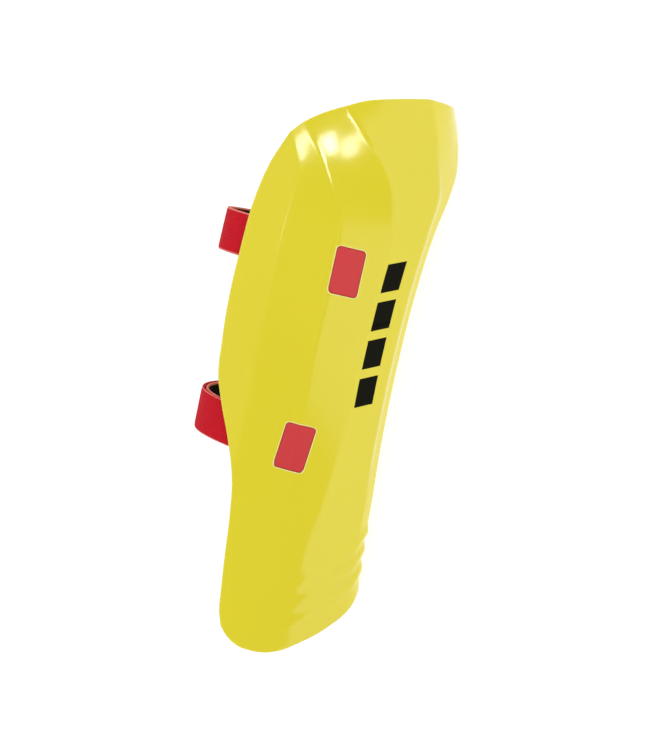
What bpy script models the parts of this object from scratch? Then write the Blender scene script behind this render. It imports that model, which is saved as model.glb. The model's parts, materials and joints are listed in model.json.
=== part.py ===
"""Ski racing shin guard: a moulded half-pipe shell, two webbing straps and their four anchor tabs.

Run in Blender 4.5, from its text editor or in the background. Lengths are in metres.
Every piece is shaped in the leg frame, with X to the right, Y back and Z up the leg from the
lowest point of the rim. The guard is then laid down as it comes to rest by itself, on its
right side with the knee end toward +X, on the floor at Z = 0.
"""
import math

import bmesh
import bpy
from mathutils import Matrix, Vector

# Driving sizes
GUARD_LENGTH = 0.372
CALF_WIDTH = 0.116
CALF_DEPTH = 0.104
WALL = 0.0026
GAP = 0.0003

# Ribs across the ankle
RIB_HEIGHT = 0.001
RIB_PITCH = 0.0125
RIB_COUNT = 3
RIB_START = 0.010

# Webbing straps and the windows that show their ends
STRAP_WIDTH = 0.028
STRAP_THICKNESS = 0.0022
UPPER_REACH = 0.033
LOWER_REACH = 0.0416
UPPER_EDGE_RISE = 0.0062
UPPER_REAR_RISE = 0.0069
LOWER_EDGE_RISE = 0.0037
LOWER_REAR_RISE = 0.0063
LOWER_ASIDE = -0.0087
LOWER_TILT = 0.0018
OVERLAP_TUCK = 0.022
WINDOW_HEIGHT = 0.0307
UPPER_WINDOW_WIDTH = 0.0192
LOWER_WINDOW_WIDTH = 0.0199
WINDOW_CORNER = 0.0026
TAB_THICKNESS = 0.0014
TAB_RECESS = 0.0002
STRAP_LEAD = 0.006

# Places of the two levels, as shares of the length and of the quarter turn from the front
UPPER_LEVEL = 0.682
LOWER_LEVEL = 0.3655
UPPER_TURN = 0.502
LOWER_TURN = 0.579

# How full a strap's loop is behind the calf, where 2 is an oval, and how far a window leans
LEVEL_COLUMNS = ("name", "height", "turn", "window_width", "lean", "reach", "fullness",
                 "edge_rise", "rear_rise", "aside", "tilt")
LEVELS = [
    ("upper", UPPER_LEVEL, UPPER_TURN, UPPER_WINDOW_WIDTH, -0.03, UPPER_REACH, 3.2,
     UPPER_EDGE_RISE, UPPER_REAR_RISE, 0.0, 0.0),
    ("lower", LOWER_LEVEL, LOWER_TURN, LOWER_WINDOW_WIDTH, 0.165, LOWER_REACH, 2.35,
     LOWER_EDGE_RISE, LOWER_REAR_RISE, LOWER_ASIDE, LOWER_TILT),
]

# The calf's oval, whose exponents set how full its front and sides are
OVAL_FRONT = 2.2
OVAL_SIDE = 0.606
FILLET = 0.03

# Width, depth and forward are shares of the calf's sizes, and each crease is a share of the depth
STATION_COLUMNS = ("height", "width", "depth", "forward", "ridge",
                   "front_crease", "middle_crease", "side_crease", "softness")
STATIONS = [
    (0.00, 0.98, 0.980, 0.155, 0.110, 0.270, 0.500, 0.900, 1.00),
    (0.10, 0.94, 0.960, 0.145, 0.110, 0.270, 0.500, 0.880, 0.90),
    (0.18, 0.92, 0.940, 0.092, 0.110, 0.240, 0.470, 0.840, 0.60),
    (0.28, 0.90, 0.930, 0.062, 0.100, 0.190, 0.430, 0.800, 0.20),
    (0.40, 0.93, 0.950, 0.024, 0.080, 0.140, 0.390, 0.740, 0.05),
    (0.54, 0.98, 0.975, 0.000, 0.070, 0.125, 0.375, 0.710, 0.00),
    (0.68, 1.00, 0.975, 0.000, 0.065, 0.125, 0.380, 0.730, 0.00),
    (0.78, 1.02, 0.975, 0.022, 0.070, 0.145, 0.440, 0.740, 0.00),
    (0.85, 1.05, 0.970, 0.046, 0.125, 0.235, 0.610, 0.780, 0.05),
    (0.89, 1.07, 0.970, 0.030, 0.220, 0.325, 0.700, 0.855, 0.12),
    (0.94, 1.08, 0.960, -0.014, 0.280, 0.460, 0.800, 0.920, 0.30),
    (1.00, 1.06, 0.950, -0.078, 0.300, 0.600, 0.900, 0.970, 0.70),
]

# How far back the rear edge lies at each height, as a share of the calf's depth
REAR_EDGE_COLUMNS = ("height", "back")
REAR_EDGE = [
    (0.027, 0.496),
    (0.050, 0.530),
    (0.090, 0.558),
    (0.150, 0.594),
    (0.215, 0.628),
    (0.283, 0.679),
    (0.348, 0.769),
    (0.406, 0.866),
    (0.446, 0.922),
    (0.516, 0.952),
    (0.600, 0.970),
    (0.680, 0.966),
    (0.760, 0.949),
    (0.831, 0.890),
    (0.889, 0.797),
]

# Each rim's height, by the share of the way round from the front to a rear edge
TOP_RIM_COLUMNS = ("way", "height")
TOP_RIM = [
    (0.00, 0.999),
    (0.17, 0.999),
    (0.28, 0.998),
    (0.36, 0.993),
    (0.49, 0.983),
    (0.64, 0.968),
    (0.75, 0.950),
    (0.86, 0.929),
    (0.94, 0.909),
    (1.00, 0.889),
]
BOTTOM_RIM_COLUMNS = ("way", "height")
BOTTOM_RIM = [
    (-1.00, 0.027),
    (-0.96, 0.015),
    (-0.89, 0.003),
    (-0.80, 0.000),
    (-0.71, 0.003),
    (-0.62, 0.013),
    (-0.50, 0.035),
    (-0.40, 0.053),
    (-0.31, 0.070),
    (-0.22, 0.085),
    (-0.13, 0.100),
    (-0.04, 0.114),
    (0.05, 0.124),
    (0.15, 0.128),
    (0.28, 0.120),
    (0.45, 0.092),
    (0.62, 0.060),
    (0.78, 0.045),
    (0.90, 0.050),
    (1.00, 0.070),
]

# Fineness of the solids
COLUMNS_ROUND = 36
ROWS_ANKLE = 18
ROWS_ABOVE = 32
ANKLE_SHARE = 0.16
STRAP_STEPS = 44

# The side that the guard lies down on, as a direction in the leg frame
LYING_SIDE = Vector((0.6924, -0.7211, 0.023))

SHELL_YELLOW = (0.74, 0.68, 0.035, 1.0)
WEBBING_RED = (0.55, 0.012, 0.022, 1.0)
TAB_RED = (0.62, 0.045, 0.055, 1.0)


def clear_scene():
    """Remove what the file holds, so that the script gives the same result each time."""
    for item in list(bpy.data.objects):
        bpy.data.objects.remove(item, do_unlink=True)
    for mesh in list(bpy.data.meshes):
        bpy.data.meshes.remove(mesh)


def smooth_curve(rows, columns, name):
    """Return a function that runs smoothly through one column of a table."""
    place = columns.index(name)
    at = [row[0] for row in rows]
    value = [row[place] for row in rows]
    last = len(rows) - 1
    slopes = [(value[k + 1] - value[k]) / (at[k + 1] - at[k]) for k in range(last)]
    tangents = [slopes[0]]
    for k in range(1, last):
        before = at[k] - at[k - 1]
        after = at[k + 1] - at[k]
        tangents.append((slopes[k - 1] * after + slopes[k] * before) / (before + after))
    tangents.append(slopes[-1])

    def curve(where):
        where = min(max(where, at[0]), at[last])
        k = 0
        while k < last - 1 and where > at[k + 1]:
            k += 1
        step = at[k + 1] - at[k]
        s = (where - at[k]) / step
        rise = s * s * (3 - 2 * s)
        start = step * tangents[k] * s * (1 - s) ** 2
        end = step * tangents[k + 1] * s * s * (s - 1)
        return value[k] + (value[k + 1] - value[k]) * rise + start + end

    return curve


STATION = {name: smooth_curve(STATIONS, STATION_COLUMNS, name) for name in STATION_COLUMNS[1:]}
rear_edge_back = smooth_curve(REAR_EDGE, REAR_EDGE_COLUMNS, "back")
top_rim_height = smooth_curve(TOP_RIM, TOP_RIM_COLUMNS, "height")
bottom_rim_height = smooth_curve(BOTTOM_RIM, BOTTOM_RIM_COLUMNS, "height")


def oval(turn):
    """Across and back shares of the calf's oval at a share of the quarter turn from the front."""
    ahead = max(math.cos(turn * math.pi / 2), 0.0)
    return (1 - ahead ** OVAL_FRONT) ** OVAL_SIDE, 1 - ahead


def turn_at_back(back):
    """The share of the quarter turn at which the oval has gone so far back."""
    return math.acos(min(max(1 - back, 0.0), 1.0)) * 2 / math.pi


def turn_at_across(across):
    """The share of the quarter turn at which the oval has gone so far across."""
    ahead = (1 - min(across, 1.0) ** (1 / OVAL_SIDE)) ** (1 / OVAL_FRONT)
    return math.acos(ahead) * 2 / math.pi


def section_corners(height):
    """Corners of the faceted section at one height, each as turn, across and back."""
    ridge_turn = turn_at_across(STATION["ridge"](height))
    corners = [(0.0, 0.0, 0.0), (ridge_turn, STATION["ridge"](height), 0.0)]
    for name in ("front_crease", "middle_crease", "side_crease"):
        turn = turn_at_back(STATION[name](height))
        corners.append((turn,) + oval(turn))
    corners.append((1.0,) + oval(1.0))
    return corners


def along_corners(turn, corners):
    """A point of the straight-sided section, carried past its ends by symmetry."""
    way = abs(turn)
    if way > 1:
        way = 2 - way
    k = 0
    while k < len(corners) - 2 and way > corners[k + 1][0]:
        k += 1
    first, second = corners[k], corners[k + 1]
    s = (way - first[0]) / (second[0] - first[0])
    across = first[1] + (second[1] - first[1]) * s
    back = first[2] + (second[2] - first[2]) * s
    if abs(turn) > 1:
        back = 2 - back
    return math.copysign(across, turn), back


def section_share(turn, height):
    """Across and back shares of the section, with filleted creases that soften at both ends."""
    corners = section_corners(height)
    steps = [FILLET * k / 3 for k in range(-3, 4)]
    points = [along_corners(turn + step, corners) for step in steps]
    across = sum(point[0] for point in points) / len(points)
    back = sum(point[1] for point in points) / len(points)
    round_across, round_back = oval(abs(turn))
    soft = STATION["softness"](height)
    across += (math.copysign(round_across, turn) - across) * soft
    back += (round_back - back) * soft
    return across, back


def calf_point(turn, height):
    """Outer surface of the shell without its ribs; a negative turn is on the left side."""
    across, back = section_share(turn, height)
    width = STATION["width"](height) * CALF_WIDTH / 2
    depth = STATION["depth"](height) * CALF_DEPTH
    forward = STATION["forward"](height) * CALF_DEPTH
    return Vector((across * width, back * depth - forward, height * GUARD_LENGTH))


def calf_axes(turn, height):
    """Directions across, up the leg and outward on the shell's surface."""
    step = 0.004
    across = calf_point(turn + step, height) - calf_point(turn - step, height)
    up = calf_point(turn, height + step) - calf_point(turn, height - step)
    outward = across.cross(up).normalized()
    across = across.normalized()
    return across, outward.cross(across), outward


def edge_turn(height):
    """Share of the quarter turn at which the shell ends at its rear edge."""
    depth = STATION["depth"](height)
    return turn_at_back((rear_edge_back(height) + STATION["forward"](height)) / depth)


def shell_place(way, rise):
    """Turn and height of a point of the shell, from its way round and its rise between the rims."""
    side = math.copysign(1.0, way)
    bottom = bottom_rim_height(way)
    height = bottom + (top_rim_height(abs(way)) - bottom) * rise
    edge_bottom = bottom_rim_height(side)
    edge_height = edge_bottom + (top_rim_height(1.0) - edge_bottom) * rise
    return way * edge_turn(edge_height), height


def rib_lift(turn, above_rim):
    """Height of the shallow ribs that run across the ankle beside the lower rim."""
    into = (above_rim - RIB_START) / RIB_PITCH
    if into < 0 or into > RIB_COUNT:
        return 0.0
    fade = max(0.0, 1 - abs(turn) / 0.55)
    return RIB_HEIGHT * math.sin(math.pi * (into % 1)) ** 2 * min(1.0, 1.6 * fade)


def shell_point(way, rise):
    """A point of the shell's outer surface, ribs included."""
    turn, height = shell_place(way, rise)
    point = calf_point(turn, height)
    lift = rib_lift(turn, (height - bottom_rim_height(way)) * GUARD_LENGTH)
    if lift:
        point += calf_axes(turn, height)[2] * lift
    return point


def row_rise(row):
    """Rise of a grid row, with closer rows over the ankle's ribs."""
    if row <= ROWS_ANKLE:
        return ANKLE_SHARE * row / ROWS_ANKLE
    return ANKLE_SHARE + (1 - ANKLE_SHARE) * (row - ROWS_ANKLE) / ROWS_ABOVE


def add_material(name, colour, roughness):
    """Make a plain material with the piece's colour."""
    material = bpy.data.materials.new(name)
    material.use_nodes = True
    shader = material.node_tree.nodes["Principled BSDF"]
    shader.inputs["Base Color"].default_value = colour
    shader.inputs["Roughness"].default_value = roughness
    shader.inputs["Metallic"].default_value = 0.0
    material.diffuse_color = colour
    return material


def add_object(name, form, material=None):
    """Make an object from a bmesh and free the bmesh."""
    mesh = bpy.data.meshes.new(name)
    form.to_mesh(mesh)
    form.free()
    item = bpy.data.objects.new(name, mesh)
    bpy.context.scene.collection.objects.link(item)
    if material:
        mesh.materials.append(material)
    return item


def grid_form(columns, rows, place):
    """A grid whose points are placed by a function of their column and row."""
    form = bmesh.new()
    bmesh.ops.create_grid(form, x_segments=columns, y_segments=rows, size=0.5)
    for vertex in form.verts:
        column = round((vertex.co.x + 0.5) * columns)
        row = round((vertex.co.y + 0.5) * rows)
        vertex.co = place(column, row)
    return form


def add_shell(material):
    """The moulded half pipe, as a sheet of its outer surface thickened inward."""
    rows = ROWS_ANKLE + ROWS_ABOVE

    def place(column, row):
        way = 2 * column / COLUMNS_ROUND - 1
        return shell_point(way, row_rise(row))

    shell = add_object("shell", grid_form(COLUMNS_ROUND, rows, place), material)
    thicken = shell.modifiers.new("Wall", "SOLIDIFY")
    thicken.thickness = WALL
    thicken.offset = -1
    thicken.use_even_offset = True
    return shell


def rounded_plate(width, height, thickness, corner, lean):
    """A plate centred on the origin, with rounded corners and sides that lean to one hand."""
    form = bmesh.new()
    bmesh.ops.create_cube(form, size=1)
    bmesh.ops.scale(form, vec=(width, height, thickness), verts=form.verts)
    upright = [edge for edge in form.edges
               if abs(edge.verts[0].co.z - edge.verts[1].co.z) > thickness / 2]
    bmesh.ops.bevel(form, geom=upright, offset=corner, segments=4, profile=0.5, affect="EDGES")
    for vertex in form.verts:
        vertex.co.x += lean * vertex.co.y
    return form


def turn_step(turn, height, distance):
    """How much of the quarter turn covers a distance round the section."""
    pace = (calf_point(turn + 0.05, height) - calf_point(turn - 0.05, height)).length / 0.1
    return distance / pace


def window_matrix(side, level, inset):
    """Place of a window on one side: its X across, its Y up the leg and its Z outward.

    Its plane goes through the surface at both of its upright edges.
    """
    turn, height = level["turn"], level["height"]
    half = turn_step(turn, height, level["window_width"] / 2)
    first = calf_point(side * turn - half, height)
    second = calf_point(side * turn + half, height)
    across = (second - first).normalized()
    up = calf_axes(side * turn, height)[1]
    outward = across.cross(up).normalized()
    matrix = Matrix((across, outward.cross(across), outward)).transposed().to_4x4()
    matrix.translation = (first + second) / 2 - outward * inset
    return matrix


def cut_window(shell, guides, side, level):
    """Cut one window through the shell's wall."""
    lean = -side * level["lean"]
    form = rounded_plate(level["window_width"], WINDOW_HEIGHT, WALL * 4, WINDOW_CORNER, lean)
    cutter = add_object("window_cutter", form)
    cutter.matrix_world = window_matrix(side, level, WALL / 2)
    bpy.context.scene.collection.objects.unlink(cutter)
    guides.objects.link(cutter)
    cutter.hide_render = True
    cutter.display_type = "WIRE"
    cut = shell.modifiers.new("Window", "BOOLEAN")
    cut.operation = "DIFFERENCE"
    cut.solver = "EXACT"
    cut.object = cutter


def add_tab(name, side, level, material):
    """The strap's moulded end, which fills its window flush with the shell."""
    width, height = level["window_width"] - 2 * GAP, WINDOW_HEIGHT - 2 * GAP
    lean = -side * level["lean"]
    form = rounded_plate(width, height, TAB_THICKNESS, WINDOW_CORNER - GAP, lean)
    tab = add_object(name, form, material)
    tab.matrix_world = window_matrix(side, level, TAB_RECESS + TAB_THICKNESS / 2)
    return tab


def wall_inset(turn, height, inset):
    """A point so far inside the shell's outer surface, kept at its height."""
    outward = calf_axes(turn, height)[2]
    outward.z = 0
    return calf_point(turn, height) - outward.normalized() * inset


def strap_point(way, lift, inset, level, first_turn):
    """A point of a strap: along the inside of the wall, then in a full loop behind the calf."""
    side = math.copysign(1.0, way)
    leave = edge_turn(level["height"])
    share = max(0.0, 2 * abs(way) - 1)
    lift += (level["edge_rise"] + side * level["tilt"]) * (1 - share * share * (3 - 2 * share))
    height = level["height"] + lift / GUARD_LENGTH
    inner = wall_inset(side * (leave + (first_turn - leave) * share), height, inset)
    if share > 0:
        return inner
    edge = calf_point(side * leave, level["height"])
    across = math.sin(math.pi * abs(way)) ** (2 / level["fullness"])
    behind = max(math.cos(math.pi * abs(way)), 0.0) ** (2 / level["fullness"])
    further = level["rear_rise"] - level["edge_rise"]
    return Vector((inner.x * across + level["aside"] * behind ** 2,
                   inner.y + (edge.y + level["reach"] - inset - inner.y) * behind,
                   inner.z + further * behind - side * level["tilt"] * (1 - across)))


def add_strap(name, level, first_turn, layer, material):
    """One ply of webbing; each further layer lies inside the one before it."""
    inset = WALL + GAP + STRAP_THICKNESS / 2 + layer * (STRAP_THICKNESS + GAP)

    def place(column, row):
        way = 2 * column / STRAP_STEPS - 1
        return strap_point(way, (row - 1) * STRAP_WIDTH / 2, inset, level, first_turn)

    strap = add_object(name, grid_form(STRAP_STEPS, 2, place), material)
    thicken = strap.modifiers.new("Webbing", "SOLIDIFY")
    thicken.thickness = STRAP_THICKNESS
    thicken.offset = 0
    thicken.use_even_offset = True
    return strap


def solid_points(item):
    """Points of a finished piece, in the frame it was built in."""
    finished = item.evaluated_get(bpy.context.evaluated_depsgraph_get())
    mesh = finished.to_mesh()
    points = [item.matrix_world @ vertex.co for vertex in mesh.vertices]
    finished.to_mesh_clear()
    return points


def resting_matrix(pieces):
    """Lay the guard on the face of its convex hull that looks most nearly to the lying side."""
    points = [point for piece in pieces for point in solid_points(piece)]
    form = bmesh.new()
    for point in points:
        form.verts.new(point)
    hull = bmesh.ops.convex_hull(form, input=form.verts)
    faces = [item for item in hull["geom"] if isinstance(item, bmesh.types.BMFace)]
    middle = sum(points, Vector()) / len(points)
    for face in faces:
        face.normal_update()
        if face.normal.dot(face.calc_center_median() - middle) < 0:
            face.normal_flip()
    lowest = max(faces, key=lambda face: face.normal.dot(LYING_SIDE))
    up = -lowest.normal
    form.free()
    along = Vector((0, 0, 1))
    along = (along - up * along.dot(up)).normalized()
    turned = Matrix((along, up.cross(along), up)).to_4x4()
    placed = [turned @ point for point in points]
    low = [min(point[axis] for point in placed) for axis in range(3)]
    high = [max(point[axis] for point in placed) for axis in range(3)]
    shift = Vector((-(low[0] + high[0]) / 2, -(low[1] + high[1]) / 2, -low[2]))
    return Matrix.Translation(shift) @ turned


def main():
    clear_scene()
    yellow = add_material("Yellow moulded shell", SHELL_YELLOW, 0.12)
    webbing = add_material("Red webbing", WEBBING_RED, 0.8)
    tab_red = add_material("Red anchor tab", TAB_RED, 0.45)
    guides = bpy.data.collections.new("Guides")
    bpy.context.scene.collection.children.link(guides)

    shell = add_shell(yellow)
    pieces = [shell]
    levels = [dict(zip(LEVEL_COLUMNS, row)) for row in LEVELS]
    for level in levels:
        for side_name, side in (("left", -1), ("right", 1)):
            cut_window(shell, guides, side, level)
            tab_name = level["name"] + "_tab_" + side_name
            pieces.append(add_tab(tab_name, side, level, tab_red))
        lead = turn_step(level["turn"], level["height"], level["window_width"] / 2 + STRAP_LEAD)
        name = level["name"] + "_strap"
        pieces.append(add_strap(name, level, level["turn"] - lead, 0, webbing))
    leave = edge_turn(LOWER_LEVEL)
    tucked = leave - turn_step(leave, LOWER_LEVEL, OVERLAP_TUCK)
    pieces.append(add_strap("lower_strap_overlap", levels[1], tucked, 1, webbing))

    bpy.context.view_layer.update()
    rest = resting_matrix(pieces)
    for piece in pieces + list(guides.objects):
        piece.matrix_world = rest @ piece.matrix_world
    bpy.context.view_layer.update()


main()
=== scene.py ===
"""Ski racing shin guard: moulded shell, webbing straps, anchor tabs and a pale studio.

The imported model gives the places. Every piece is shaped in the leg frame, with X to the right,
Y back and Z up the leg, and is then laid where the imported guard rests. Lengths are in metres.
"""

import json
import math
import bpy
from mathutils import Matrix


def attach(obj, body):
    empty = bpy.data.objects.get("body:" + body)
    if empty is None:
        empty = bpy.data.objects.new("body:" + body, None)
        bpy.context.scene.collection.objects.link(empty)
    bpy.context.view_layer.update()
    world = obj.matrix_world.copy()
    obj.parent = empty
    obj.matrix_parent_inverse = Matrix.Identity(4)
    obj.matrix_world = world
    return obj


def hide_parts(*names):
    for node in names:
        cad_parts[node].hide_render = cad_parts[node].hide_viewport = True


bl_info = {
    "name": "Shin Guard",
    "version": (1, 0, 0),
    "blender": (4, 5, 0),
    "location": "View3D > Sidebar > Shin Guard",
    "description": "Builds a ski racing shin guard with its straps and a studio around it",
    "category": "Add Mesh",
}

import bmesh
import bpy
from bpy.props import FloatProperty, FloatVectorProperty, IntProperty, PointerProperty
from mathutils import Matrix, Vector

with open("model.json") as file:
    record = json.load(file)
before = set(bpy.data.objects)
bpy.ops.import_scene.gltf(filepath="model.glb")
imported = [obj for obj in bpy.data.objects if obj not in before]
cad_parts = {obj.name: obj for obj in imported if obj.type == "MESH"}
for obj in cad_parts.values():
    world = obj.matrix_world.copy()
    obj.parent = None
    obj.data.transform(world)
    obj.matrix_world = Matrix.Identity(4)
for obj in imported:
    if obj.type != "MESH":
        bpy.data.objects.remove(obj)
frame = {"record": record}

# The calf's oval, whose exponents set how full its front and sides are
OVAL_FRONT = 2.2
OVAL_SIDE = 0.606

# Width, depth and forward are shares of the calf's sizes, and each crease is a share of the depth
STATION_COLUMNS = ("height", "width", "depth", "forward", "ridge",
                   "front_crease", "middle_crease", "side_crease", "softness")
STATIONS = [
    (0.00, 0.98, 0.980, 0.155, 0.110, 0.270, 0.500, 0.900, 1.00),
    (0.10, 0.94, 0.960, 0.145, 0.110, 0.270, 0.500, 0.880, 0.90),
    (0.18, 0.92, 0.940, 0.092, 0.110, 0.240, 0.470, 0.840, 0.60),
    (0.28, 0.90, 0.930, 0.062, 0.100, 0.190, 0.430, 0.800, 0.20),
    (0.40, 0.93, 0.950, 0.024, 0.080, 0.140, 0.390, 0.740, 0.05),
    (0.54, 0.98, 0.975, 0.000, 0.070, 0.125, 0.375, 0.710, 0.00),
    (0.68, 1.00, 0.975, 0.000, 0.065, 0.125, 0.380, 0.730, 0.00),
    (0.78, 1.02, 0.975, 0.022, 0.070, 0.145, 0.440, 0.740, 0.00),
    (0.85, 1.05, 0.970, 0.046, 0.125, 0.235, 0.610, 0.780, 0.05),
    (0.89, 1.07, 0.970, 0.030, 0.220, 0.325, 0.700, 0.855, 0.12),
    (0.94, 1.08, 0.960, -0.014, 0.280, 0.460, 0.800, 0.920, 0.30),
    (1.00, 1.06, 0.950, -0.078, 0.300, 0.600, 0.900, 0.970, 0.70),
]

# How far back the rear edge lies at each height, as a share of the calf's depth
REAR_EDGE_COLUMNS = ("height", "back")
REAR_EDGE = [
    (0.027, 0.496),
    (0.050, 0.530),
    (0.090, 0.558),
    (0.150, 0.594),
    (0.215, 0.628),
    (0.283, 0.679),
    (0.348, 0.769),
    (0.406, 0.866),
    (0.446, 0.922),
    (0.516, 0.952),
    (0.600, 0.970),
    (0.680, 0.966),
    (0.760, 0.949),
    (0.831, 0.890),
    (0.889, 0.797),
]

# Each rim's height, by the share of the way round from the front to a rear edge
RIM_COLUMNS = ("way", "height")
TOP_RIM = [
    (0.00, 0.999),
    (0.17, 0.999),
    (0.28, 0.998),
    (0.36, 0.993),
    (0.49, 0.983),
    (0.64, 0.968),
    (0.75, 0.950),
    (0.86, 0.929),
    (0.94, 0.909),
    (1.00, 0.889),
]
BOTTOM_RIM = [
    (-1.00, 0.027),
    (-0.96, 0.015),
    (-0.89, 0.003),
    (-0.80, 0.000),
    (-0.71, 0.003),
    (-0.62, 0.013),
    (-0.50, 0.035),
    (-0.40, 0.053),
    (-0.31, 0.070),
    (-0.22, 0.085),
    (-0.13, 0.100),
    (-0.04, 0.114),
    (0.05, 0.124),
    (0.15, 0.128),
    (0.28, 0.120),
    (0.45, 0.092),
    (0.62, 0.060),
    (0.78, 0.045),
    (0.90, 0.050),
    (1.00, 0.070),
]

# Height and turn are shares of the length and of the quarter turn. A strap's loop has a reach
# behind the rear edges and a fullness, where 2 is an oval. The rises lift it over its window's
# height at the rear edges and behind the calf, and aside and tilt set it off to one side. A
# window leans, and is shifted toward the rear.
LEVEL_COLUMNS = ("name", "height", "turn", "window_width", "lean", "reach", "fullness",
                 "edge_rise", "rear_rise", "aside", "tilt", "shift")
LEVELS = [dict(zip(LEVEL_COLUMNS, row)) for row in (
    ("upper", 0.682, 0.502, 0.0192, -0.03, 0.033, 3.2,
     0.0062, 0.0069, 0.0, 0.0, 0.0),
    ("lower", 0.3655, 0.579, 0.0199, 0.070, 0.0416, 2.35,
     0.0037, 0.0063, -0.0087, 0.0018, 0.001),
)]
SIDES = (("left", -1), ("right", 1))
WINDOWS = [(level, side_name, side) for level in LEVELS for side_name, side in SIDES]

# Heights between which the creases grow rounder toward the ankle
ANKLE = (0.30, 0.12)

# The ankle ribs' distance from the lower rim, their number, and the turn past which they fade out
RIBS_ABOVE_RIM = 0.010
RIB_COUNT = 3
RIBS_REACH = 0.55

# How deep an anchor tab's face lies in its window
TAB_RECESS = 0.0002

# The leg-frame point at the middle of the picture, and the one that the lights face
VIEW_MIDDLE = (0.0, 0.0478, 0.1808)
LIT_MIDDLE = (0.0, 0.048, 0.181)


def length_property(name, description, default):
    return FloatProperty(name=name, description=description, default=default, unit="LENGTH",
                         precision=5)


def angle_property(name, description, degrees):
    return FloatProperty(name=name, description=description, default=math.radians(degrees),
                         subtype="ANGLE")


def colour_property(name, description, default):
    return FloatVectorProperty(name=name, description=description, default=default + (1.0,),
                               subtype="COLOR", size=4)


class GuardSizes(bpy.types.PropertyGroup):
    """Sizes of the guard that a user may change."""

    length: length_property("Length", "From the lowest to the highest rim", 0.372)
    calf_width: length_property("Calf width", "Width of the shell at mid calf", 0.116)
    calf_depth: length_property("Calf depth", "Depth of the shell's oval", 0.104)
    wall: length_property("Wall", "Thickness of the moulded wall", 0.0026)
    rim_round: length_property("Rim round", "Rounding of the wall's free edges", 0.0009)
    fillet: FloatProperty(name="Crease fillet", default=0.009, min=0.005, max=0.05,
                          description="Half width of a crease's rounding, in quarter turns")
    ankle_fillet: FloatProperty(name="Ankle fillet", default=0.035, min=0.005, max=0.05,
                                description="The same beside the lower rim")
    columns: IntProperty(name="Columns", description="Mesh columns round the shell", default=240)
    rows: IntProperty(name="Rows", description="Mesh rows along the shell", default=180)
    rib_height: length_property("Rib height", "Height of the ankle ribs", 0.0013)
    rib_pitch: length_property("Rib pitch", "Distance from rib to rib", 0.0125)
    strap_width: length_property("Strap width", "Width of the webbing", 0.028)
    strap_thickness: length_property("Strap thickness", "Thickness of one ply", 0.0022)
    gap: length_property("Gap", "Gap between pieces that lie together", 0.0003)
    window_height: length_property("Window height", "Height of a strap window", 0.0307)
    window_corner: length_property("Window corner", "Corner radius of a window", 0.0026)


class GuardColours(bpy.types.PropertyGroup):
    """Colours of the guard that a user may change."""

    shell: colour_property("Shell", "Moulded plastic", (0.752, 0.648, 0.0255))
    # The paler lip colour is a painted highlight where light catches the windows' edges
    shell_edge: colour_property("Shell edge", "Lit edge of the plastic", (0.86, 0.82, 0.30))
    # The ridge colour is a painted highlight: a pale line where light catches the front ridges
    shell_ridge_highlight: colour_property("Shell ridge", "Painted highlight on a ridge", (0.95, 0.93, 0.62))
    webbing: colour_property("Webbing", "Woven face of the straps", (0.74, 0.008, 0.022))
    # The selvage colour is partly a paler looped selvage and partly a painted highlight on the
    # webbing's edges
    selvage_and_highlight: colour_property("Selvage and highlight", "Paler edge of the webbing", (0.85, 0.28, 0.24))
    # The straps' inner faces are coloured near black
    inner_face_colour: colour_property("Lining", "Dark inner face of the webbing", (0.005, 0.004, 0.004))
    tab: colour_property("Tab", "Smooth ends of the straps", (0.61, 0.030, 0.034))
    marking: colour_property("Marking", "Printed blocks on the front", (0.006, 0.006, 0.003))
    floor: colour_property("Floor", "Pale studio floor", (0.25, 0.25, 0.25))


class GuardView(bpy.types.PropertyGroup):
    """The camera's place, seen from the leg's own frame."""

    azimuth: angle_property("Azimuth", "From the front toward the left side", 64)
    elevation: angle_property("Elevation", "Above the leg's level", 7.7)
    lean: angle_property("Lean", "Clockwise lean of the leg in the picture", 14)
    distance: length_property("Distance", "From the camera to the guard", 1.02)
    view_height: length_property("View height", "What the picture's height covers", 0.50025)


def sizes():
    return bpy.context.scene.guard_sizes


def colours():
    return bpy.context.scene.guard_colours


def share_between(value, start, end):
    """How far a value has gone from a start to an end, from 0 to 1."""
    return min(max((value - start) / (end - start), 0.0), 1.0)


def ease(share):
    """A share that starts and ends softly."""
    return share * share * (3 - 2 * share)


def smooth_curve(rows, columns, name):
    """Return a function that runs smoothly through one column of a table."""
    place = columns.index(name)
    at = [row[0] for row in rows]
    value = [row[place] for row in rows]
    last = len(rows) - 1
    slopes = [(value[k + 1] - value[k]) / (at[k + 1] - at[k]) for k in range(last)]
    tangents = [slopes[0]]
    for k in range(1, last):
        before = at[k] - at[k - 1]
        after = at[k + 1] - at[k]
        tangents.append((slopes[k - 1] * after + slopes[k] * before) / (before + after))
    tangents.append(slopes[-1])

    def curve(where):
        where = min(max(where, at[0]), at[last])
        k = 0
        while k < last - 1 and where > at[k + 1]:
            k += 1
        step = at[k + 1] - at[k]
        s = (where - at[k]) / step
        start = step * tangents[k] * s * (1 - s) ** 2
        end = step * tangents[k + 1] * s * s * (s - 1)
        return value[k] + (value[k + 1] - value[k]) * ease(s) + start + end

    return curve


STATION = {name: smooth_curve(STATIONS, STATION_COLUMNS, name) for name in STATION_COLUMNS[1:]}
rear_edge_back = smooth_curve(REAR_EDGE, REAR_EDGE_COLUMNS, "back")
top_rim_height = smooth_curve(TOP_RIM, RIM_COLUMNS, "height")
bottom_rim_height = smooth_curve(BOTTOM_RIM, RIM_COLUMNS, "height")


def oval(turn):
    """Across and back shares of the calf's oval at a share of the quarter turn from the front."""
    ahead = max(math.cos(turn * math.pi / 2), 0.0)
    return (1 - ahead ** OVAL_FRONT) ** OVAL_SIDE, 1 - ahead


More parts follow.
